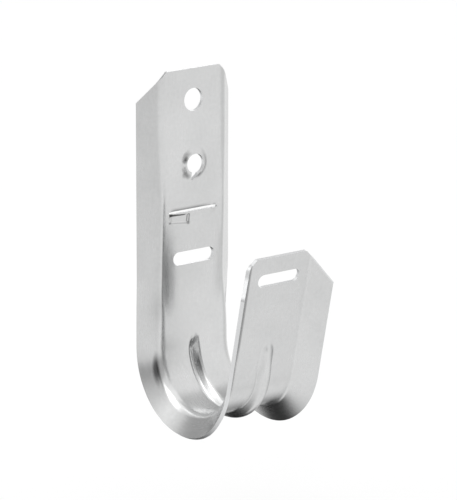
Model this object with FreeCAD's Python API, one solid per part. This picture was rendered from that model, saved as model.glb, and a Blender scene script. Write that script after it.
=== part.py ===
# J hook for data and fibre cable bundles: one steel strip, punched, flared along both long edges,
# ribbed through the loop and folded into a J. Lengths are millimetres, angles degrees.
# X runs across the strip, Y points to the wall, Z up. The origin is the middle of the mounting hole
# on the wall side of the web, so the cable trough hangs below it and opens towards -Y.
# Section coordinates: x across the strip, n outwards through the sheet from its cable side,
# w along the cable side of the flat blank.
import FreeCAD, Part
import math
import os
V = FreeCAD.Vector

# sheet and fold
sheet = 1.15
loop_radius = 16.7
front_lean = 12.8
back_length = 86.9
front_length = 41.3

# back leg features, measured down from the top edge
hole_drop = 9.8
hole_radius = 3.57
thread_drop = 29.7
lance_drop = 44.5
tie_drop = 59.3

# tie slots, one in each leg
tie_length = 15.9
tie_height = 4.2
front_tie_drop = 7.5

# corner cuts of the blank: half length left at the end edge, height of the cut
back_end_half = 10.0
front_end_half = 9.6
corner_height = 9.7
corner_round = 0.8

# flared edges: flare angle, start of the bend, cable side bend radius, half width of the blank
top_flare = (43.0, 9.9, 5.5, 19.5)
back_flare = (42.0, 10.8, 2.4, 19.55)
loop_flare = (57.0, 11.1, 3.8, 20.1)
front_flare = (46.5, 11.3, 2.4, 20.0)
top_flare_end = 18.0
back_flare_start = 42.0
back_flare_end = 63.0
loop_flare_end = 103.0
front_flare_start = 145.0

# stiffening rib
rib_depth = 2.2
rib_flank = 60.0
rib_groove_radius = 1.3
rib_foot_radius = 1.0
rib_back_length = 0.6
rib_front_length = 8.6

# thread impression: a slit collar pressed up on the cable side, its rim one turn of a helix,
# formed with a trim allowance that the hole then takes off
thread_pitch = 1.27
thread_rise = 1.0
thread_hole_radius = 2.95
thread_trim = 0.25
thread_ring_radius = 5.4
thread_slit_inner = 0.6
thread_slit_outer = 0.12
thread_slit_angle = 264.0

# lance: a cut with its upper edge set back, its lower lip raised and a pocket pressed in the lip
lance_gap = 0.75
lance_left = -9.6
lance_right = 9.2
lance_height = 3.3
lip_raise = 0.6
lip_fall_left = 1.2
lip_fall_right = 3.4
brow_set = 0.5
brow_fall = 2.2
pocket_left = -9.2
pocket_right = -2.2
pocket_depth = 1.3
pocket_top = 0.9
pocket_height = 2.6
pocket_wall = 1.2

# reach of a cut past the metal it goes through
clear = 1.0
punch_length = 8 * sheet

# steps between the sections or points that a formed surface is drawn through
leg_easing_steps = 2
fold_easing_steps = 6
bend_steps = 6
brow_steps_across = 6
brow_steps_up = 3
lip_steps_across = 16
lip_steps_down = 6
thread_steps_round = 16
thread_steps_out = 4

front_turn = 180 - front_lean
level = hole_drop - back_length
loop_centre = V(0, -sheet - loop_radius, level)
rib_foot_side = rib_foot_radius + sheet
rib_sum = rib_groove_radius + rib_foot_side
flank = math.radians(rib_flank)
rib_flank_length = (rib_depth - rib_sum * (1 - math.cos(flank))) / math.sin(flank)
rib_half = rib_sum * math.sin(flank) + rib_flank_length * math.cos(flank)


def at(x, n, z=0.0):
    """Point of the sheet as it stands in the back leg."""
    return V(x, n - sheet, z)


def arc(centre, radius, start, end):
    """Arc in the section plane between two angles in degrees."""
    mid = (start + end) / 2
    points = []
    for angle in (start, mid, end):
        a = math.radians(angle)
        points.append(V(centre.x + radius * math.cos(a), centre.y + radius * math.sin(a), centre.z))
    return Part.Arc(*points).toShape()


def mirrored(edges):
    """Left half of an outline that was drawn on the right, in running order."""
    out = []
    for edge in reversed(edges):
        out.append(edge.mirror(V(0, 0, 0), V(1, 0, 0)))
    return out


def flare_lengths(flare):
    """Bend angle in radians, start and radius of a flare, and the flat length beyond its bend."""
    angle, start, radius, half = flare
    a = math.radians(angle)
    flat = half - start - (radius - sheet / 2) * a
    return a, start, radius, flat


def flare_edges(flare, n, inner):
    """Web, bend and flare of the right half on one side of the sheet."""
    a, start, radius, flat = flare_lengths(flare)
    r = radius - n
    centre = at(start, radius)
    bend = arc(centre, r, -90, -90 + math.degrees(a))
    corner = centre + V(math.sin(a), -math.cos(a), 0) * r
    tip = corner + V(math.cos(a), math.sin(a), 0) * flat
    web = Part.makeLine(at(inner, n), at(start, n))
    return [web, bend, Part.makeLine(corner, tip)], tip


def rib_edges(n):
    """Rib of the right half on one side of the sheet, from the middle out to its foot."""
    foot = at(rib_half, rib_foot_side)
    crest = at(0, rib_depth - rib_groove_radius)
    out = V(math.sin(flank), math.cos(flank), 0)
    on_crest = crest + out * (rib_groove_radius + n)
    on_foot = foot - out * (rib_foot_side - n)
    top = arc(crest, rib_groove_radius + n, 90, 90 - rib_flank)
    side = Part.makeLine(on_crest, on_foot)
    base = arc(foot, rib_foot_side - n, 270 - rib_flank, 270)
    return [top, side, base]


def section(flare, ribbed):
    """Closed outline of the sheet across the strip, in the plane z = 0."""
    inner = rib_half if ribbed else 0.0
    cable, tip = flare_edges(flare, 0.0, inner)
    outer, outer_tip = flare_edges(flare, sheet, inner)
    if ribbed:
        cable = rib_edges(0.0) + cable
        outer = rib_edges(sheet) + outer
    edge = Part.makeLine(tip, outer_tip)
    other = edge.mirror(V(0, 0, 0), V(1, 0, 0))
    run = mirrored(cable) + cable + [edge] + list(reversed(outer)) + list(reversed(mirrored(outer))) + [other]
    return Part.Wire(Part.__sortEdges__(run))


def ease(share):
    """Smooth run from 0 to 1, level at both ends."""
    u = min(max(share, 0.0), 1.0)
    return u * u * (3 - 2 * u)


def blend(first, second, share):
    """Flare part of the way between two others."""
    out = []
    for a, b in zip(first, second):
        out.append(a + (b - a) * ease(share))
    return out


def true_planes(solid):
    """The same solid with every flat face lying on a plane."""
    faces = []
    for face in solid.Faces:
        flat = face.findPlane(1e-6)
        if flat is not None:
            plain = Part.Face(flat, face.OuterWire)
            if plain.normalAt(0, 0).dot(face.normalAt(0.5, 0.5)) < 0:
                plain.reverse()
            face = plain
        faces.append(face)
    return Part.Solid(Part.makeShell(faces))


def straight(flare, low, high):
    """Leg piece of constant section between two heights."""
    wire = section(flare, False)
    wire.translate(V(0, 0, low))
    return Part.Face(wire).extrude(V(0, 0, high - low))


def easing(first, second, low, high):
    """Leg piece whose flare eases from one section to the next, upwards."""
    wires = []
    for i in range(leg_easing_steps + 1):
        share = i / leg_easing_steps
        wire = section(blend(first, second, share), False)
        wire.translate(V(0, 0, low + (high - low) * share))
        wires.append(wire)
    return true_planes(Part.makeLoft(wires, True, False))


def turned(shape, angle):
    """Copy of a shape carried round the fold."""
    out = shape.copy()
    out.rotate(V(0, loop_centre.y, 0), V(1, 0, 0), -angle)
    return out


def fold(flare, start, end):
    """Part of the fold with a constant section, between two angles of turn."""
    face = turned(Part.Face(section(flare, True)), start)
    return face.revolve(V(0, loop_centre.y, 0), V(-1, 0, 0), end - start)


def fold_easing(first, second, start, end):
    """Part of the fold whose flare eases from one section to the next."""
    wires = []
    for i in range(fold_easing_steps + 1):
        share = i / fold_easing_steps
        wires.append(turned(section(blend(first, second, share), True), start + (end - start) * share))
    return Part.makeLoft(wires, True, False)


def loop():
    """The fold, ribbed all the way round."""
    parts = [fold(loop_flare, 0.0, loop_flare_end)]
    parts.append(fold_easing(loop_flare, front_flare, loop_flare_end, front_flare_start))
    parts.append(fold(front_flare, front_flare_start, front_turn))
    return parts


def rib_end(length):
    """Ribbed piece of the web from the fold line up to a rounded end."""
    edges = rib_edges(0.0)
    outer = rib_edges(sheet)
    foot = Part.makeLine(at(rib_half, 0), at(rib_half, sheet))
    middle = Part.makeLine(at(0, rib_depth), at(0, rib_depth + sheet))
    half = Part.Face(Part.Wire(Part.__sortEdges__(edges + outer + [foot, middle])))
    both = half.fuse(half.mirror(V(0, 0, 0), V(1, 0, 0))).removeSplitter()
    run = both.extrude(V(0, 0, length))
    half.translate(V(0, 0, length))
    dome = half.revolve(V(0, 0, length), V(0, 1, 0), -180)
    return run.fuse(dome)


def rib_window(length):
    """Web metal that the end of the rib replaces."""
    run = Part.makeBox(2 * rib_half, sheet, length, V(-rib_half, -sheet, 0))
    end = Part.makeCylinder(rib_half, sheet, V(0, -sheet, length), V(0, 1, 0))
    return run.fuse(end)


def round_punch(radius, x, z):
    return Part.makeCylinder(radius, punch_length, V(x, -punch_length / 2, z), V(0, 1, 0))


def slot(length, height, z):
    """Rounded slot through the web."""
    r = height / 2
    reach = length / 2 - r
    out = Part.makeBox(2 * reach, punch_length, height, V(-reach, -punch_length / 2, z - r))
    for x in (-reach, reach):
        out = out.fuse(round_punch(r, x, z))
    return out


def corner_cut(flare, end_half, end, side):
    """Metal above the straight corner cut of the blank, laid round the flare."""
    a, start, radius, flat = flare_lengths(flare)
    half = flare[3]
    slope = corner_height / (half - end_half)
    bend_length = (radius - sheet / 2) * a
    lines = []
    widths = [end_half - clear, start]
    for i in range(1, bend_steps + 1):
        widths.append(start + bend_length * i / bend_steps)
    widths.append(half + 2 * clear)
    for w in widths:
        z = end - (w - end_half) * slope
        turn = min(max(w - start, 0) / bend_length, 1) * a
        normal = V(math.sin(turn), -math.cos(turn), 0)
        centre = at(start, radius)
        base = centre + normal * radius
        if w < start:
            base = at(w, 0)
        if w > start + bend_length:
            base = base + V(math.cos(turn), math.sin(turn), 0) * (w - start - bend_length)
        near = base + normal * clear + V(0, 0, z)
        far = base - normal * (sheet + clear) + V(0, 0, z)
        lines.append((V(side * near.x, near.y, near.z), V(side * far.x, far.y, far.z)))
    pieces = []
    for first, last in ((0, 2), (1, len(lines) - 1), (len(lines) - 2, len(lines))):
        wires = []
        for near, far in lines[first:last]:
            wires.append(Part.Wire([Part.makeLine(near, far)]))
        face = Part.makeLoft(wires, False, len(wires) == 2)
        pieces.append(face.Faces[0].extrude(V(0, 0, 3 * corner_height)))
    return pieces[0].fuse(pieces[1]).fuse(pieces[2])


def pressed(rows):
    """Sheet metal behind a smooth surface through rows of points on the cable side."""
    surface = Part.BSplineSurface()
    surface.interpolate(rows)
    return surface.toShape().extrude(V(0, sheet, 0)), surface


def field(z_low, z_high, depth, steps_x, steps_z):
    """Strip of web, as wide as the lance, pressed to a depth given by a function of x and z."""
    rows = []
    for i in range(steps_x + 1):
        x = lance_left + (lance_right - lance_left) * i / steps_x
        row = []
        for j in range(steps_z + 1):
            z = z_low + (z_high - z_low) * j / steps_z
            row.append(at(x, depth(x, z), z))
        rows.append(row)
    return pressed(rows)[0]


def with_lance(leg):
    """The leg with the slit of the lance and the pressed metal above and below it."""
    middle = back_length - lance_drop
    low = middle - lance_gap / 2
    high = middle + lance_gap / 2

    def brow(x, z):
        ends = ease((x - lance_left) / brow_fall) * ease((lance_right - x) / brow_fall)
        return brow_set * ends * (1 - ease((z - high) / lance_height))

    def lip(x, z):
        down = (low - z) / lance_height
        right = (x - lance_right) / lip_fall_right + 1
        left = (lance_left - x) / lip_fall_left + 1
        along = max(left, right, 0.0)
        raised = lip_raise * (1 - ease(math.hypot(down, along)))
        across = ease((x - pocket_left) / pocket_wall) * ease((pocket_right - x) / pocket_wall)
        fall = ease((low - z) / pocket_top)
        foot = ease((pocket_height - (low - z)) / (pocket_height - pocket_top))
        return pocket_depth * across * fall * foot - raised

    window = Part.makeBox(lance_right - lance_left, sheet, lance_gap + 2 * lance_height,
                          V(lance_left, -sheet, low - lance_height))
    leg = leg.cut(window)
    leg = leg.fuse(field(high, high + lance_height, brow, brow_steps_across, brow_steps_up))
    return leg.fuse(field(low - lance_height, low, lip, lip_steps_across, lip_steps_down))


def with_thread(leg):
    """The leg with the slit collar of the thread impression."""
    z = back_length - thread_drop
    inner = thread_hole_radius - thread_trim
    rows = []
    for i in range(thread_steps_round + 1):
        share = i / thread_steps_round
        lift = -thread_rise - thread_pitch * (share - 0.5)
        row = []
        for j in range(thread_steps_out + 1):
            out = j / thread_steps_out
            r = inner + (thread_ring_radius - inner) * out
            gap = thread_slit_inner + (thread_slit_outer - thread_slit_inner) * out
            side = math.degrees(math.asin(gap / r))
            a = math.radians(thread_slit_angle - side - (360 - 2 * side) * share)
            row.append(at(r * math.cos(a), lift * (1 - ease(out)), z + r * math.sin(a)))
        rows.append(row)
    ring, surface = pressed(rows)
    rim = surface.vIso(surface.bounds()[3]).toShape()
    ends = [vertex.Point for vertex in rim.Vertexes]
    border = Part.Wire([rim, Part.makeLine(ends[1], ends[0])])
    ring = ring.cut(round_punch(thread_hole_radius, 0, z))
    return leg.cut(Part.Face(border).extrude(V(0, sheet, 0))).fuse(ring)


def rounded(leg, end_half, end):
    """The leg with the two corners of its end edge rounded."""
    corners = []
    for edge in leg.Edges:
        middle = edge.CenterOfMass
        at_end = abs(middle.z - end) < 0.01 and abs(abs(middle.x) - end_half) < 0.01
        if at_end and abs(edge.Length - sheet) < 0.01:
            corners.append(edge)
    return leg.makeFillet(corner_round, corners)


def leg_back():
    """Back leg, drawn upwards from the fold line at z = 0."""
    top = back_length - top_flare_end
    high = back_length - back_flare_start
    low = back_length - back_flare_end
    parts = [straight(top_flare, top, back_length)]
    parts.append(easing(back_flare, top_flare, high, top))
    parts.append(straight(back_flare, low, high))
    parts.append(easing(loop_flare, back_flare, 0.0, low))
    leg = parts[0].multiFuse(parts[1:]).removeSplitter()
    for side in (-1, 1):
        leg = leg.cut(corner_cut(top_flare, back_end_half, back_length, side))
    leg = rounded(leg, back_end_half, back_length)
    leg = leg.cut(rib_window(rib_back_length)).fuse(rib_end(rib_back_length))
    leg = leg.cut(round_punch(hole_radius, 0, back_length - hole_drop))
    leg = leg.cut(slot(tie_length, tie_height, back_length - tie_drop))
    return with_thread(with_lance(leg))


def leg_front():
    """Front leg, drawn upwards from the fold and then turned over into place."""
    leg = straight(front_flare, 0.0, front_length)
    for side in (-1, 1):
        leg = leg.cut(corner_cut(front_flare, front_end_half, front_length, side))
    leg = rounded(leg, front_end_half, front_length)
    leg = leg.cut(rib_window(rib_front_length)).fuse(rib_end(rib_front_length))
    leg = leg.cut(slot(tie_length, tie_height, front_length - front_tie_drop))
    leg = leg.mirror(V(0, 0, 0), V(0, 0, 1))
    return turned(leg, front_turn)


def hook():
    """The whole strip as one solid, with the mounting hole at the origin."""
    body = leg_back().multiFuse(loop() + [leg_front()]).removeSplitter()
    body.translate(V(0, 0, level))
    return body.Solids[0]


os.makedirs("parts", exist_ok=True)
hook().exportStep("parts/hook.step")
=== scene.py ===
import bmesh
import bpy
import math
from mathutils import Matrix, Vector


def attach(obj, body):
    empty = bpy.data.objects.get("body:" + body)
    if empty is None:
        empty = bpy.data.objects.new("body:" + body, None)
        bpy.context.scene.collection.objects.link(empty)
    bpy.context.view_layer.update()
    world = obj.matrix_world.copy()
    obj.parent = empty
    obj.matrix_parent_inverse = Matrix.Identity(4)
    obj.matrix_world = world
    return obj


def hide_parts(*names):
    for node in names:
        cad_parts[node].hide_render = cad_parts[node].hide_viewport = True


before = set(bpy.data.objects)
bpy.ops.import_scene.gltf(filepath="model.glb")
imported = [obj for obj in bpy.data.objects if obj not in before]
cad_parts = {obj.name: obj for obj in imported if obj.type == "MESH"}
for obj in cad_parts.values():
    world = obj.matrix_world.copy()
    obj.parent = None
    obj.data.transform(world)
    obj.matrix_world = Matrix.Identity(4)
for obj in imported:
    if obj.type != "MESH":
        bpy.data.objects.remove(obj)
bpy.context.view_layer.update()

mm = 0.001
sheet = 1.15 * mm
loop_radius = 16.7 * mm
front_lean = 12.8
front_turn = math.radians(180 - front_lean)
back_length = 86.9 * mm
front_length = 41.3 * mm


def along_fold(degrees):
    """Place on the flat strip of a point that ends up at this angle of the fold."""
    return back_length + loop_radius * math.radians(degrees)


fold_end = along_fold(180 - front_lean)
strip_length = fold_end + front_length

# slack that the press leaves in the web beside the flares, half way down the back leg
slack_depth = 0.72 * mm
slack_inner = 6.3 * mm
slack_outer = 11.0 * mm
slack_top = 41.0 * mm
slack_middle = 67.0 * mm
slack_foot = 80.0 * mm

# flares of the two long edges: angle, start and cable side radius of the bend, half width of the
# flat strip, and the places on the strip between which each flare eases into the next
top_flare = {"angle": math.radians(43.0), "start": 9.9 * mm, "radius": 5.5 * mm, "half": 19.5 * mm}
back_flare = {"angle": math.radians(42.0), "start": 10.8 * mm, "radius": 2.4 * mm, "half": 19.55 * mm}
loop_flare = {"angle": math.radians(57.0), "start": 11.1 * mm, "radius": 3.8 * mm, "half": 20.09 * mm}
front_flare = {"angle": math.radians(46.5), "start": 11.3 * mm, "radius": 2.4 * mm, "half": 20.0 * mm}
flares = (top_flare, back_flare, loop_flare, front_flare)
top_flare_end = 18.0 * mm
back_flare_start = 42.0 * mm
back_flare_end = 63.0 * mm
loop_flare_end = along_fold(103.0)
front_flare_start = along_fold(145.0)
easings = (
    (top_flare_end, back_flare_start),
    (back_flare_end, back_length),
    (loop_flare_end, front_flare_start),
)

# rib, pressed away from the cables: a long taper on the back leg, and on the front leg an end that
# runs out and fades by a share of the depth
rib_depth = 2.2 * mm
rib_flank = math.radians(55.0)
rib_groove_radius = 0.9 * mm
rib_foot_inside = 0.15 * mm
rib_foot_radius = rib_foot_inside + sheet
rib_rounds = rib_groove_radius + rib_foot_radius
rib_flank_length = (rib_depth - rib_rounds * (1 - math.cos(rib_flank))) / math.sin(rib_flank)
rib_half = rib_rounds * math.sin(rib_flank) + rib_flank_length * math.cos(rib_flank)
rib_start = back_length + 3.4 * mm
rib_end = fold_end + 8.6 * mm
rib_taper = 0.36
rib_run_out = 0.6
rib_fade = 0.56
rib_fade_length = 8.0 * mm


def ease(share):
    """Nothing up to 0, one from 1, and a smooth rise between."""
    u = min(max(share, 0.0), 1.0)
    return u * u * (3 - 2 * u)


def half_width(s):
    """Half width of the flat strip at a place along it."""
    half = top_flare["half"]
    for (low, high), before, after in zip(easings, flares, flares[1:]):
        half += (after["half"] - before["half"]) * ease((s - low) / (high - low))
    return half


def steps(start, *stretches):
    """Stations along a line, through stretches that are given by their end and their step length."""
    out = [start]
    for end, step in stretches:
        start = out[-1]
        count = max(1, round((end - start) / step))
        for i in range(1, count + 1):
            out.append(start + (end - start) * i / count)
    return out


# The flat strip is a grid, fine across the rib and the bends of the flares and along the ends of
# the rib, and wider elsewhere.
rib_columns = 3.4 * mm
bend_low = 9.4 * mm
bend_high = 16.2 * mm
edge_columns = 4
taper_reach = 8.0 * mm
run_out_reach = 3.6 * mm
rib_lap = 0.4 * mm
rib_step = 0.2 * mm
bend_step = 0.27 * mm
fold_step = 0.6 * mm
web_step = 1.2 * mm
leg_step = 1.25 * mm
columns = steps(0.0, (rib_columns, rib_step), (bend_low, web_step), (bend_high, bend_step))
rows = steps(
    0.0,
    (rib_start - taper_reach, leg_step),
    (rib_start + rib_lap, rib_step),
    (rib_end - rib_lap, fold_step),
    (rib_end + run_out_reach, rib_step),
    (strip_length, leg_step),
)
blank = bmesh.new()


def skin(lines):
    """Faces between neighbouring lines of vertices."""
    for one, two in zip(lines, lines[1:]):
        for i in range(len(one) - 1):
            blank.faces.new((one[i], one[i + 1], two[i + 1], two[i]))


grid = []
for s in rows:
    to_edge = half_width(s) - bend_high
    right = columns + [bend_high + to_edge * i / edge_columns for i in range(1, edge_columns + 1)]
    left = [-w for w in reversed(right[1:])]
    grid.append([blank.verts.new((w, s, 0.0)) for w in left + right])
skin(grid)

# corners: a straight cut with a small round, in a few short cuts, where it meets the end of the strip
corner_height = 9.7 * mm
corner_round = 0.8 * mm
corner_cuts = 4
back_end_half = 10.0 * mm
front_end_half = 9.6 * mm
cut_gap = 1e-7


def shear(point, direction):
    """Cuts away all that lies beyond a straight line across the flat strip."""
    everything = blank.verts[:] + blank.edges[:] + blank.faces[:]
    bmesh.ops.bisect_plane(
        blank, geom=everything, dist=cut_gap, plane_co=point, plane_no=direction, clear_outer=True)


def shear_corner(side, end, end_half, towards_end):
    """The straight cut of one corner, from the end of the strip to its long edge, and its round."""
    width = half_width(end) - end_half
    corner = Vector((side * end_half, end, 0))
    run = Vector((side * width, -towards_end * corner_height, 0))
    out = Vector((side * corner_height, towards_end * width, 0)).normalized()
    shear(corner, out)
    end_normal = Vector((0, towards_end, 0))
    turn = end_normal.angle(out)
    inward = (run.normalized() + Vector((-side, 0, 0))).normalized()
    centre = corner + inward * corner_round / math.cos(turn / 2)
    for i in range(corner_cuts):
        share = (i + 0.5) / corner_cuts
        normal = (end_normal * math.sin((1 - share) * turn) + out * math.sin(share * turn)).normalized()
        shear(centre + normal * corner_round, normal)


for side in (-1, 1):
    shear_corner(side, 0.0, back_end_half, -1)
    shear_corner(side, strip_length, front_end_half, 1)


def open_window(middle, half_across, half_along):
    """Takes the grid out of a rectangle of the strip and returns the edges round it."""
    gone = []
    for face in blank.faces:
        centre = face.calc_center_median()
        inside = middle - half_along < centre.y < middle + half_along
        if inside and -half_across < centre.x < half_across:
            gone.append(face)
    border = {edge for face in gone for edge in face.edges}
    bmesh.ops.delete(blank, geom=gone, context="FACES")
    return [edge for edge in border if edge.is_valid and edge.is_boundary]


def ring_of(points):
    """Edges once round a closed run of points."""
    verts = [blank.verts.new(p) for p in points]
    return [blank.edges.new(pair) for pair in zip(verts, verts[1:] + verts[:1])]


def fill(edges):
    """Flat faces from the edges round a window to the edges of what is made in it."""
    bmesh.ops.triangle_fill(blank, edges=edges, use_beauty=True, use_dissolve=False)


# mounting hole
hole_drop = 9.8 * mm
hole_radius = 3.57 * mm
hole_points = 72
hole_window = (5.9 * mm, 5.2 * mm)
points = []
for i in range(hole_points):
    a = math.tau * i / hole_points
    points.append((hole_radius * math.cos(a), hole_drop + hole_radius * math.sin(a), 0.0))
fill(open_window(hole_drop, *hole_window) + ring_of(points))

# tie slots with round ends, one in each leg
tie_length = 15.9 * mm
tie_height = 4.2 * mm
back_tie_drop = 59.3 * mm
front_tie_drop = 7.5 * mm
tie_end_steps = 18
tie_window = (9.4 * mm, 3.4 * mm)
tie_radius = tie_height / 2
for middle in (back_tie_drop, strip_length - front_tie_drop):
    points = []
    for side in (1, -1):
        for i in range(tie_end_steps + 1):
            a = side * math.pi * (i / tie_end_steps - 0.5)
            reach = tie_length / 2 - tie_radius + tie_radius * math.cos(a)
            points.append((side * reach, middle + tie_radius * math.sin(a), 0.0))
    fill(open_window(middle, *tie_window) + ring_of(points))

# thread collar: a slit ring pressed up on the cable side, its rim one turn of a helix
thread_drop = 29.7 * mm
thread_pitch = 1.27 * mm
thread_rise = 1.0 * mm
thread_hole_radius = 2.95 * mm
thread_ring_radius = 5.4 * mm
thread_slit_inner = 0.72 * mm
thread_slit_outer = 0.28 * mm
thread_slit_angle = math.radians(264.0)
thread_steps_round = 108
thread_steps_out = 14
thread_window = (7.0 * mm, 7.0 * mm)


def patch(count_u, count_v, shape):
    """Grid of faces through shape(u, v), u and v from 0 to 1. Returns its lines of vertices."""
    lines = []
    for i in range(count_u + 1):
        lines.append([blank.verts.new(shape(i / count_u, j / count_v)) for j in range(count_v + 1)])
    skin(lines)
    return lines


def edges_along(verts):
    """Edges through a run of vertices, made new where there is none."""
    return [blank.edges.get(pair) or blank.edges.new(pair) for pair in zip(verts, verts[1:])]


def collar(u, v):
    """Place on the collar: u round it from slit to slit, v out from the hole to the flat web."""
    lift = -thread_rise - thread_pitch * (u - 0.5)
    r = thread_hole_radius + (thread_ring_radius - thread_hole_radius) * v
    gap = thread_slit_inner + (thread_slit_outer - thread_slit_inner) * v
    side = math.asin(gap / r)
    a = thread_slit_angle - side - (math.tau - 2 * side) * u
    return (r * math.cos(a), thread_drop - r * math.sin(a), lift * (1 - ease(v)))


border = open_window(thread_drop, *thread_window)
rim = [line[-1] for line in patch(thread_steps_round, thread_steps_out, collar)]
fill(border + edges_along(rim + rim[:1]))

# lance: a slit with its upper edge, the brow, set back, its lower lip raised, and a pocket pressed
# into the left half of the lip
lance_drop = 44.5 * mm
lance_gap = 0.68 * mm
lance_left = -9.6 * mm
lance_right = 9.2 * mm
lance_height = 3.3 * mm
brow_set = 0.15 * mm
brow_fall = 2.2 * mm
brow_roll = 0.35 * mm
brow_roll_height = 1.5 * mm
lip_height = 4.6 * mm
lip_raise = 0.35 * mm
lip_fall_left = 1.2 * mm
lip_fall_right = 3.4 * mm
pocket_left = -9.2 * mm
pocket_right = -1.7 * mm
pocket_depth = 0.45 * mm
pocket_rim = 0.02 * mm
pocket_top = 1.0 * mm
pocket_height = 3.0 * mm
pocket_skew = 0.8 * mm
pocket_wall = 1.0 * mm
pocket_rise = 0.7 * mm
lance_steps_across = 94
brow_steps_up = 34
lip_steps_down = 58
lance_window = (10.3 * mm, 5.2 * mm)


def brow(u, v):
    """Place on the web above the slit: u from left to right, v up from the slit."""
    x = lance_left + (lance_right - lance_left) * u
    up = lance_height * v
    ends = ease((x - lance_left) / brow_fall) * ease((lance_right - x) / brow_fall)
    roll = brow_roll * max(1 - up / brow_roll_height, 0.0) ** 2
    return (x, lance_drop - lance_gap / 2 - up, ends * (roll + brow_set * (1 - ease(up / lance_height))))


def lip(u, v):
    """Place on the lip and its pocket: u from left to right, v down from the slit."""
    x = lance_left + (lance_right - lance_left) * u
    down = lip_height * v
    right = (x - lance_right) / lip_fall_right + 1
    left = (lance_left - x) / lip_fall_left + 1
    raised = lip_raise * (1 - ease(math.hypot(down / lance_height, max(left, right, 0.0))))
    across = ease((x - pocket_left) / pocket_wall) * ease((pocket_right - x) / pocket_wall)
    bottom = pocket_height + pocket_skew * (x - pocket_left) / (pocket_right - pocket_left)
    foot = ease((bottom - down) / pocket_rise)
    fall = ease((down - pocket_rim) / (pocket_top - pocket_rim))
    return (x, lance_drop + lance_gap / 2 + down, pocket_depth * across * fall * foot - raised)


border = open_window(lance_drop, *lance_window)
upper = patch(lance_steps_across, brow_steps_up, brow)
lower = patch(lance_steps_across, lip_steps_down, lip)
over_brow = upper[0] + [line[-1] for line in upper[1:]] + upper[-1][-2::-1]
under_lip = lower[-1] + [line[-1] for line in lower[-2::-1]] + lower[0][-2::-1]
fill(border + edges_along(over_brow + under_lip + over_brow[:1]))

# the blank faces up, and its UV map keeps each point's place on the flat strip, in squares of 40 mm
bmesh.ops.recalc_face_normals(blank, faces=blank.faces[:])
facing = sum(face.normal.z * face.calc_area() for face in blank.faces)
if facing < 0:
    bmesh.ops.reverse_faces(blank, faces=blank.faces[:])
uv_square = 40.0
laid_out = blank.loops.layers.uv.new("flat_strip")
for face in blank.faces:
    for loop in face.loops:
        point = loop.vert.co
        loop[laid_out].uv = (point.x / (uv_square * mm) + 0.5, point.y / (uv_square * mm))
blank_mesh = bpy.data.meshes.new("hook_blank")
blank.to_mesh(blank_mesh)
blank.free()


class Value:
    """A socket of a node tree, so that sums and products are written out as on paper."""

    def __init__(self, tree, socket):
        self.tree = tree
        self.socket = socket

    def math(self, operation, *values):
        """A Math node in the same tree, fed with these values."""
        made = place(self.tree, "ShaderNodeMath", {"operation": operation}, dict(enumerate(values)))
        return Value(self.tree, made.outputs[0])

    def __add__(self, other):
        return self.math("ADD", self, other)

    def __radd__(self, other):
        return self.math("ADD", other, self)

    def __sub__(self, other):
        return self.math("SUBTRACT", self, other)

    def __rsub__(self, other):
        return self.math("SUBTRACT", other, self)

    def __mul__(self, other):
        return self.math("MULTIPLY", self, other)

    def __rmul__(self, other):
        return self.math("MULTIPLY", other, self)

    def __truediv__(self, other):
        return self.math("DIVIDE", self, other)

    def __rtruediv__(self, other):
        return self.math("DIVIDE", other, self)

    def of(self, operation):
        """A function of this value alone, such as its sine."""
        return self.math(operation, self)

    def root(self):
        return larger(self, 0.0).of("SQRT")

    def below(self, limit):
        return self.math("LESS_THAN", self, limit)


def connect(tree, socket, value):
    """Sets a socket to a plain value, or links it to another socket."""
    if isinstance(value, Value):
        tree.links.new(value.socket, socket)
    elif isinstance(value, bpy.types.NodeSocket):
        tree.links.new(value, socket)
    else:
        socket.default_value = value


def place(tree, kind, settings, values):
    """A node with its settings and the values or links of its sockets, by name or number."""
    made = tree.nodes.new(kind)
    for name, setting in settings.items():
        setattr(made, name, setting)
    for name, value in values.items():
        connect(tree, made.inputs[name], value)
    return made


def larger(one, two):
    return one.math("MAXIMUM", one, two)


def smaller(one, two):
    return one.math("MINIMUM", one, two)


def smooth_step(value, low, high):
    """Nothing below low, one above high, and a smooth rise between."""
    made = place(value.tree, "ShaderNodeMapRange", {"interpolation_type": "SMOOTHSTEP"},
                 {"Value": value, "From Min": low, "From Max": high})
    return Value(value.tree, made.outputs[0])


def forming_tree(name, sizes):
    """A Geometry Nodes tree with named inputs. Returns it, the sheet it is given and its inputs."""
    tree = bpy.data.node_groups.new(name, "GeometryNodeTree")
    tree.interface.new_socket(name="Sheet metal", in_out="INPUT", socket_type="NodeSocketGeometry")
    tree.interface.new_socket(name="Hook", in_out="OUTPUT", socket_type="NodeSocketGeometry")
    for size in sizes:
        tree.interface.new_socket(name=size, in_out="INPUT", socket_type="NodeSocketFloat")
    entry = place(tree, "NodeGroupInput", {}, {})
    return tree, entry.outputs["Sheet metal"], {size: Value(tree, entry.outputs[size]) for size in sizes}


# The press work as one tree: the rib, the slack and the flares give the depth of the section, and
# the fold turns that section round the loop.
press_sizes = {
    "Loop radius": loop_radius,
    "Front turn": front_turn,
    "Back length": back_length,
    "Sheet": sheet,
    "Rib depth": rib_depth,
    "Rib flank": rib_flank,
    "Rib groove radius": rib_groove_radius,
    "Rib foot radius": rib_foot_radius,
    "Rib half width": rib_half,
    "Rib start": rib_start,
    "Rib end": rib_end,
    "Rib taper": rib_taper,
    "Rib run out": rib_run_out,
    "Rib fade": rib_fade,
    "Rib fade length": rib_fade_length,
    "Slack depth": slack_depth,
    "Slack inner": slack_inner,
    "Slack outer": slack_outer,
    "Slack top": slack_top,
    "Slack middle": slack_middle,
    "Slack foot": slack_foot,
    "Half width": loop_flare["half"],
    "Hole drop": hole_drop,
}
for i, flare in enumerate(flares):
    for name in ("angle", "start", "radius"):
        press_sizes[f"Flare {i} {name}"] = flare[name]
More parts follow.
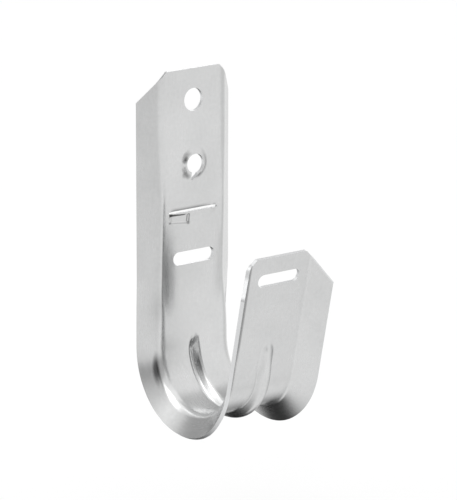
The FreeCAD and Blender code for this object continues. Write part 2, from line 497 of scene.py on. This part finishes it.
for i, (low, high) in enumerate(easings):
    press_sizes[f"Easing {i} from"] = low
    press_sizes[f"Easing {i} to"] = high
press, strip_in, size = forming_tree("press_the_strip", press_sizes)
position = place(press, "GeometryNodeInputPosition", {}, {})
flat = place(press, "ShaderNodeSeparateXYZ", {}, {"Vector": position.outputs[0]})
w = Value(press, flat.outputs["X"])
s = Value(press, flat.outputs["Y"])

# rib: groove round, flank and foot round, the same in section and round its two ends
before_start = (size["Rib start"] - s) * size["Rib taper"]
after_end = (s - size["Rib end"]) * size["Rib run out"]
beyond = larger(larger(before_start, after_end), 0.0)
out = (w * w + beyond * beyond).root()
flank = size["Rib flank"]
groove = size["Rib groove radius"]
foot = size["Rib foot radius"]
groove_edge = groove * flank.of("SINE")
foot_edge = size["Rib half width"] - foot * flank.of("SINE")
left_over = size["Rib half width"] - out
crest_depth = size["Rib depth"] - groove + (groove * groove - out * out).root()
flank_depth = foot * (1 - flank.of("COSINE")) + (foot_edge - out) * flank.of("TANGENT")
foot_depth = foot - (foot * foot - left_over * left_over).root()
on_crest = out.below(groove_edge)
on_foot = foot_edge.below(out)
on_rib = out.below(size["Rib half width"])
rib = crest_depth * on_crest + foot_depth * on_foot + flank_depth * (1 - on_crest) * (1 - on_foot)
fade_start = size["Rib end"] - size["Rib fade length"]
fade_end = size["Rib end"] + size["Rib half width"]
depth = rib * on_rib * (1 - size["Rib fade"] * smooth_step(s, fade_start, fade_end))

# slack in the web: deepest beside the bend, gone at the edge of the strip
reach = w.of("ABSOLUTE")
slack = (reach - size["Slack inner"]) / (size["Slack outer"] - size["Slack inner"])
slack = larger(smaller(slack, 1.0), 0.0)
slack = slack * slack * (1 - smooth_step(reach, size["Slack outer"], size["Half width"]))
slack = slack * smooth_step(s, size["Slack top"], size["Slack middle"])
slack = slack * (1 - smooth_step(s, size["Slack middle"], size["Slack foot"]))
depth = depth + slack * size["Slack depth"]

# flares: the sizes at this place on the strip, then the turn round the bend and the flat beyond it
along = {}
for name in ("angle", "start", "radius"):
    value = size[f"Flare 0 {name}"]
    for i in range(len(easings)):
        share = smooth_step(s, size[f"Easing {i} from"], size[f"Easing {i} to"])
        value = value + (size[f"Flare {i + 1} {name}"] - size[f"Flare {i} {name}"]) * share
    along[name] = value
middle_radius = along["radius"] - size["Sheet"] / 2
bend_length = middle_radius * along["angle"]
past = larger(reach - along["start"], 0.0)
turn = smaller(past, bend_length) / middle_radius
flat_past = larger(past - bend_length, 0.0)
across = smaller(reach, along["start"]) + along["radius"] * turn.of("SINE") + flat_past * turn.of("COSINE")
depth = depth + along["radius"] * (1 - turn.of("COSINE")) + flat_past * turn.of("SINE")

# fold: straight down the back leg, round the loop, straight up the front leg
down = s - size["Back length"]
fold_length = size["Loop radius"] * size["Front turn"]
fold = larger(smaller(down, fold_length), 0.0) / size["Loop radius"]
leg = smaller(down, 0.0) + larger(down - fold_length, 0.0)
radius = size["Loop radius"] + depth
depth_y = radius * fold.of("COSINE") - leg * fold.of("SINE") - size["Sheet"] - size["Loop radius"]
level = size["Hole drop"] - size["Back length"]
height = level - radius * fold.of("SINE") - leg * fold.of("COSINE")
kept = place(press, "GeometryNodeStoreNamedAttribute", {"data_type": "FLOAT", "domain": "POINT"},
             {"Geometry": strip_in, "Name": "pressed", "Value": flat.outputs["Z"]})
folded = place(press, "ShaderNodeCombineXYZ", {}, {"X": w.of("SIGN") * across, "Y": depth_y, "Z": height})
shaped = place(press, "GeometryNodeSetPosition", {},
               {"Geometry": kept.outputs[0], "Position": folded.outputs[0]})
smooth = place(press, "GeometryNodeSetShadeSmooth", {}, {"Geometry": shaped.outputs[0], "Shade Smooth": True})
real = place(press, "GeometryNodeRealizeInstances", {}, {"Geometry": smooth.outputs[0]})

# Painted shade and painted dark reflections, placed on the flat strip in mm, across from its middle line
# and along from its top edge. They lie in the pocket of the lance, under its slit and at its foot,
# along its brow, in the bends, in the groove of the rib and round the collar.
painted_shade_bands = (
    # starts, full from, full to and ends, across and then along, slopes of top and foot, darkness
    ((-9.6, -9.35, -3.9, -2.7), (44.572, 44.822, 45.358, 45.658), (0.1085, 0.0385), 0.85),  # under slit
    ((-9.0, -7.0, 2.0, 7.0), (42.9, 44.0, 44.35, 44.4), (0.0, 0.0), 0.35),  # along the brow
    ((-9.7, -9.4, -2.0, -1.7), (47.2925, 47.4925, 47.6425, 47.8425), (0.115, 0.115), 0.25),  # foot
    ((-15.5, -13.9, -11.4, -10.9), (141.0, 150.0, 180.0, 190.0), (0.0, 0.0), 0.34),  # left front bend
    ((0.0, 0.3, 1.8, 2.3), (84.5, 85.5, 88.0, 91.0), (0.0, 0.0), 0.3),  # groove of the rib
)
painted_shade_spots = (
    # across, along, half width, half length, lean, darkness
    (-9.2, 47.55, 0.7, 0.7, 0.0, 0.35),  # left corner of the pocket
    (-2.1, 48.3, 0.9, 0.9, 0.0, 0.35),  # right corner of the pocket
    (-3.75, 28.75, 1.1, 1.1, 0.0, 0.55),  # collar, upper left
    (-3.2, 28.0, 1.0, 1.0, 0.0, 0.5),
    (-3.4, 33.1, 1.5, 1.5, 0.0, 0.4),  # collar, lower left
    (-2.2, 33.8, 1.2, 1.2, 0.0, 0.35),
    (1.5, 33.3, 1.0, 1.0, 0.0, 0.5),  # collar, beside the slit
    (-14.5, 92.8, 1.703, 5.099, 1.6, 0.72),  # left flare beside the loop
)
painted_shade_core = 0.2
painted_shade_most = 0.9


def between(value, start, full_from, full_to, end):
    """One from full_from to full_to, and a smooth fall to nothing at the start and at the end."""
    return smooth_step(value, start, full_from) * (1 - smooth_step(value, full_to, end))


def painted_shade(across, along):
    """How much painted shade and painted dark reflections darken a place on the flat strip."""
    painted_dark = 0.0
    for sides, (top, full_top, full_foot, foot), (top_slope, foot_slope), darkness in painted_shade_bands:
        aside = across - sides[0]
        under_top = smooth_step(along - aside * top_slope, top, full_top)
        over_foot = 1 - smooth_step(along - aside * foot_slope, full_foot, foot)
        painted_dark = painted_dark + between(across, *sides) * under_top * over_foot * darkness
    for x, y, half_across, half_along, lean, darkness in painted_shade_spots:
        aside = across - x
        u = aside / half_across
        v = (along - y + aside * lean) / half_along
        painted_dark = painted_dark + (1 - smooth_step((u * u + v * v).root(), painted_shade_core, 1.0)) * darkness
    return smaller(painted_dark, painted_shade_most)


def metal(name):
    """A metal with its tree, object coordinates, strip coordinates and places on the strip in mm."""
    made = bpy.data.materials.new(name)
    made.use_nodes = True
    tree = made.node_tree
    solid = place(tree, "ShaderNodeTexCoord", {}, {}).outputs["Object"]
    laid_flat = place(tree, "ShaderNodeUVMap", {"uv_map": "flat_strip"}, {}).outputs[0]
    parts = place(tree, "ShaderNodeSeparateXYZ", {}, {"Vector": laid_flat})
    across = (Value(tree, parts.outputs["X"]) - 0.5) * uv_square
    along = Value(tree, parts.outputs["Y"]) * uv_square
    return made, tree, solid, laid_flat, across, along


def noise(tree, coordinates, scale, detail, stretch=(1.0, 1.0, 1.0), roughness=0.5):
    """Noise from 0 to 1, with its coordinates stretched first."""
    stretched = place(tree, "ShaderNodeMapping", {}, {"Vector": coordinates, "Scale": stretch})
    made = place(tree, "ShaderNodeTexNoise", {}, {
        "Vector": stretched.outputs[0], "Scale": scale, "Detail": detail, "Roughness": roughness})
    return Value(tree, made.outputs["Fac"])


def varied(middle, *patterns):
    """A middle value that each pattern moves to both sides, by its own swing."""
    value = middle
    for pattern, swing in patterns:
        value = value + (pattern - 0.5) * swing
    return value


def surface(tree, colour, shade, roughness, relief, strength, distance):
    """Feeds the metal's shader: a colour times its shade, a roughness, and a relief as a bump."""
    shader = tree.nodes["Principled BSDF"]
    shader.inputs["Metallic"].default_value = 1.0
    tone = place(tree, "ShaderNodeVectorMath", {"operation": "SCALE"}, {0: colour, "Scale": shade})
    connect(tree, shader.inputs["Base Color"], tone.outputs[0])
    connect(tree, shader.inputs["Roughness"], roughness)
    bump = place(tree, "ShaderNodeBump", {}, {"Strength": strength, "Distance": distance, "Height": relief})
    connect(tree, shader.inputs["Normal"], bump.outputs[0])
    return shader


# Finish: zinc on rolled sheet. It has a faint rolled grain along the strip, a soft cloudy bloom and
# a fine speckle, and a painted sheen makes it a little brighter down the back leg and into the loop.
zinc, tree, solid, laid_flat, across, along = metal("galvanised_sheet")
cloud = noise(tree, solid, scale=22.0, detail=2.0)
bloom = noise(tree, solid, scale=90.0, detail=3.0)
speckle = noise(tree, solid, scale=900.0, detail=2.0)
grain = noise(tree, laid_flat, scale=14.0, detail=6.0, stretch=(14.0, 0.6, 1.0), roughness=0.62)
fine_grain = noise(tree, laid_flat, scale=60.0, detail=3.0, stretch=(9.0, 0.35, 1.0), roughness=0.6)
# painted sheen: a lighter tone painted where the web runs down into the loop
painted_sheen = between(along, 56.0, 78.0, 92.0, 108.0)
painted_sheen_gain = 0.05
shade = varied(1.0, (cloud, 0.2), (bloom, 0.16), (grain, 0.13), (speckle, 0.10)) + painted_sheen * painted_sheen_gain
shader = surface(
    tree,
    colour=(0.627, 0.630, 0.630),
    # painted shade and painted dark reflections darken the zinc in the lance, the collar, the rib and the
    # bends
    shade=shade * (1 - painted_shade(across, along)),
    roughness=varied(0.25, (bloom, 0.10), (grain, 0.12)),
    relief=0.6 * grain + 0.4 * fine_grain + 0.25 * speckle,
    strength=0.2,
    distance=0.06 * mm,
)
shader.inputs["Anisotropic"].default_value = 0.3

# sheared edges: bare and brighter, streaked and torn by the punch
edge, tree, solid, _, across, along = metal("sheared_edge")
tear = noise(tree, solid, scale=1400.0, detail=4.0)
streak = noise(tree, solid, scale=260.0, detail=2.0)
surface(
    tree,
    colour=(0.72, 0.725, 0.73),
    # painted shade darkens the sheared edges in the lance and round the collar
    shade=varied(1.0, (tear, 0.16), (streak, 0.08)) * (1 - painted_shade(across, along)),
    roughness=varied(0.42, (tear, 0.2)),
    relief=tear,
    strength=0.3,
    distance=0.05 * mm,
)
clad = place(press, "GeometryNodeSetMaterial", {}, {"Geometry": real.outputs[0], "Material": zinc})
place(press, "NodeGroupOutput", {}, {"Hook": clad.outputs[0]})

# The lance and the collar are pushed through the finished thickness of the sheet, square to the
# web, so that both faces move alike, and the rim that Solidify made gets the finish of an edge.
punch_sizes = {"Stroke": 1.0, "First edge index": 1.0}
punch, sheet_in, size = forming_tree("push_through", punch_sizes)
kept = place(punch, "GeometryNodeInputNamedAttribute", {"data_type": "FLOAT"}, {"Name": "pressed"})
push = Value(punch, kept.outputs["Attribute"]) * size["Stroke"]
moved = place(punch, "ShaderNodeCombineXYZ", {}, {"Y": push})
pushed = place(punch, "GeometryNodeSetPosition", {}, {"Geometry": sheet_in, "Offset": moved.outputs[0]})
real = place(punch, "GeometryNodeRealizeInstances", {}, {"Geometry": pushed.outputs[0]})
index = Value(punch, place(punch, "GeometryNodeInputMaterialIndex", {}, {}).outputs[0])
on_edge = 1 - index.below(size["First edge index"])
rim = place(punch, "GeometryNodeSetMaterial", {},
            {"Geometry": real.outputs[0], "Selection": on_edge, "Material": edge})
place(punch, "NodeGroupOutput", {}, {"Hook": rim.outputs[0]})


def form(piece, name, tree, sizes):
    """Runs a tree on a piece, with its inputs set by the identifiers of their sockets."""
    forming = piece.modifiers.new(name, "NODES")
    forming.node_group = tree
    for item in tree.interface.items_tree:
        if item.in_out == "INPUT" and item.name in sizes:
            forming[item.identifier] = sizes[item.name]


blank_mesh.materials.append(zinc)
blank_mesh.materials.append(edge)
strip = bpy.data.objects.new("strip", blank_mesh)
bpy.context.scene.collection.objects.link(strip)
form(strip, "press", press, press_sizes)
thick = strip.modifiers.new("thickness", "SOLIDIFY")
thick.thickness = sheet
thick.offset = 1.0
thick.material_offset_rim = 1
form(strip, "push", punch, punch_sizes)
broken_edge = strip.modifiers.new("broken_edge", "BEVEL")
broken_edge.width = 0.09 * mm
broken_edge.segments = 2
broken_edge.limit_method = "ANGLE"
broken_edge.angle_limit = math.radians(55)
broken_edge.harden_normals = True
bpy.context.view_layer.update()
pressed_mesh = bpy.data.meshes.new_from_object(strip.evaluated_get(bpy.context.evaluated_depsgraph_get()))
bpy.data.objects.remove(strip)
pressed_mesh.name = "hook_sheet"
hook = bpy.data.objects.new("hook_sheet", pressed_mesh)
bpy.context.scene.collection.objects.link(hook)
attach(hook, "root")
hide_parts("hook")

# The studio. The hook stands over a floor of white paper. The paper takes its shadow, looks white
# to the camera and doesn't show in the metal.
floor_reach = 4.0
floor_height = -0.135
paper_white = 0.9
paper_glow = 0.8
corners = ((-1, -1), (1, -1), (1, 1), (-1, 1))
floor_mesh = bpy.data.meshes.new("floor")
floor_points = [(x * floor_reach, y * floor_reach, floor_height) for x, y in corners]
floor_mesh.from_pydata(floor_points, [], [(0, 1, 2, 3)])
floor = bpy.data.objects.new("floor", floor_mesh)
bpy.context.scene.collection.objects.link(floor)
paper = bpy.data.materials.new("paper_floor")
paper.use_nodes = True
tree = paper.node_tree
tree.nodes.remove(tree.nodes["Principled BSDF"])
rays = place(tree, "ShaderNodeLightPath", {}, {})
plain = place(tree, "ShaderNodeBsdfDiffuse", {}, {"Color": (paper_white, paper_white, paper_white, 1.0)})
lit = place(tree, "ShaderNodeEmission", {}, {"Color": (1.0, 1.0, 1.0, 1.0), "Strength": 1.0})
share = Value(tree, rays.outputs["Is Camera Ray"]) * paper_glow
mixed = place(tree, "ShaderNodeMixShader", {}, {0: share, 1: plain.outputs[0], 2: lit.outputs[0]})
connect(tree, tree.nodes["Material Output"].inputs["Surface"], mixed.outputs[0])
floor_mesh.materials.append(paper)
floor.visible_glossy = False

# The room that shows in the metal: pale all round, with lighter and darker parts, by turn from the
# front to the right and by height above the level of the hook, in degrees.
room_light = 1.05
room = (
    # turn, half, soft, low, high, soft height, light
    (0, 179, 0.5, 46, 120, 8, 1.3),  # ceiling
    (-88, 30, 9, 34, 75, 4, 2.4),  # large soft box, high on the left
    (-40, 48, 8, -2, 34, 4, 0.50),  # dim wall, front left
    (-58, 26, 8, -23, -5, 4, 0.86),  # foot of that wall
    (-70, 11, 6, 0, 24, 5, 0.03),  # dark gap, left
    (-101, 20, 6, 4, 26, 5, 0.8),  # pale wall, left
    (138, 15, 6, 4, 25, 4, 2.2),  # bright card, back right
    (-172, 34, 6, 4, 40, 6, 0.45),  # dim wall, back
    (-178, 63, 42, -76, -38, 7, 0.02),  # dark floor, under the back
    (147, 16, 4, -34, -8, 5, 0.12),  # dark corner, low at the back right
    (75, 18, 10, -45, 12, 5, 0.85),  # grey screen, right
    (118, 28, 14, 26, 60, 8, 0.6),  # dim wall, high on the right
)
world = bpy.data.worlds.new("surround")
world.use_nodes = True
bpy.context.scene.world = world
tree = world.node_tree
towards = place(tree, "ShaderNodeTexCoord", {}, {}).outputs["Generated"]
gaze = place(tree, "ShaderNodeSeparateXYZ", {}, {"Vector": towards})
east = Value(tree, gaze.outputs["X"])
north = Value(tree, gaze.outputs["Y"])
height = Value(tree, gaze.outputs["Z"])
least_level = 0.0001
level = (east * east + north * north + least_level).root()


def sine_of(degrees):
    return math.sin(math.radians(degrees))


def cosine_of(degrees):
    return math.cos(math.radians(degrees))


def part_of_room(turn, half, soft, low, high, soft_height):
    """How far a direction lies in a part of the room, with soft borders."""
    facing = (east * sine_of(turn) - north * cosine_of(turn)) / level
    across = smooth_step(facing, cosine_of(min(half + soft, 180)), cosine_of(half - soft))
    over = smooth_step(height, sine_of(low - soft_height), sine_of(low + soft_height))
    under = smooth_step(height, sine_of(high - soft_height), sine_of(high + soft_height))
    return across * over * (1 - under)


glow = room_light
for *borders, light in room:
    glow = part_of_room(*borders) * (light - glow) + glow
rays = place(tree, "ShaderNodeLightPath", {}, {})
seen = Value(tree, rays.outputs["Is Camera Ray"])
backdrop = tree.nodes["Background"]
connect(tree, backdrop.inputs["Strength"], seen + (1 - seen) * glow)
backdrop.inputs["Color"].default_value = (1.0, 1.0, 1.0, 1.0)

# The lamp in the soft box, high on the left, aimed at the middle of the hook.
hook_middle = Vector((0.0, -0.02, -0.05))
box_turn = math.radians(-85)
box_rise = math.radians(55)
box_distance = 1.2
box_level = math.cos(box_rise)
to_box = Vector((math.sin(box_turn) * box_level, -math.cos(box_turn) * box_level, math.sin(box_rise)))
lamp = bpy.data.lights.new("soft_box", "AREA")
lamp.shape = "RECTANGLE"
lamp.size = 0.7
lamp.size_y = 0.6
lamp.energy = 1.0
soft_box = bpy.data.objects.new("soft_box", lamp)
soft_box.location = hook_middle + to_box * box_distance
soft_box.rotation_euler = (-to_box).to_track_quat("-Z", "Y").to_euler()
bpy.context.scene.collection.objects.link(soft_box)

# The camera stands front left of the hook and a little above it, and looks at the level of the loop.
camera_turn = math.radians(38.431)
camera_rise = math.radians(14.229)
camera_distance = 1.2913
camera_aside = 0.01072
camera_up = 0.02862
camera_level = math.cos(camera_rise)
right = Vector((math.cos(camera_turn), -math.sin(camera_turn), 0.0))
back = Vector((-math.sin(camera_turn) * camera_level, -math.cos(camera_turn) * camera_level,
               math.sin(camera_rise)))
up = back.cross(right)
loop_level = Vector((0.0, -sheet, hole_drop - back_length))
eye = loop_level + back * camera_distance + right * camera_aside + up * camera_up
lens = bpy.data.cameras.new("camera")
lens.lens = 299.4
lens.sensor_width = 36.0
lens.clip_start = 0.05
lens.clip_end = 20.0
camera = bpy.data.objects.new("camera", lens)
bpy.context.scene.collection.objects.link(camera)
camera.matrix_world = Matrix.Translation(eye) @ Matrix((right, up, back)).transposed().to_4x4()
bpy.context.scene.camera = camera

bpy.context.scene.view_settings.view_transform = "Standard"
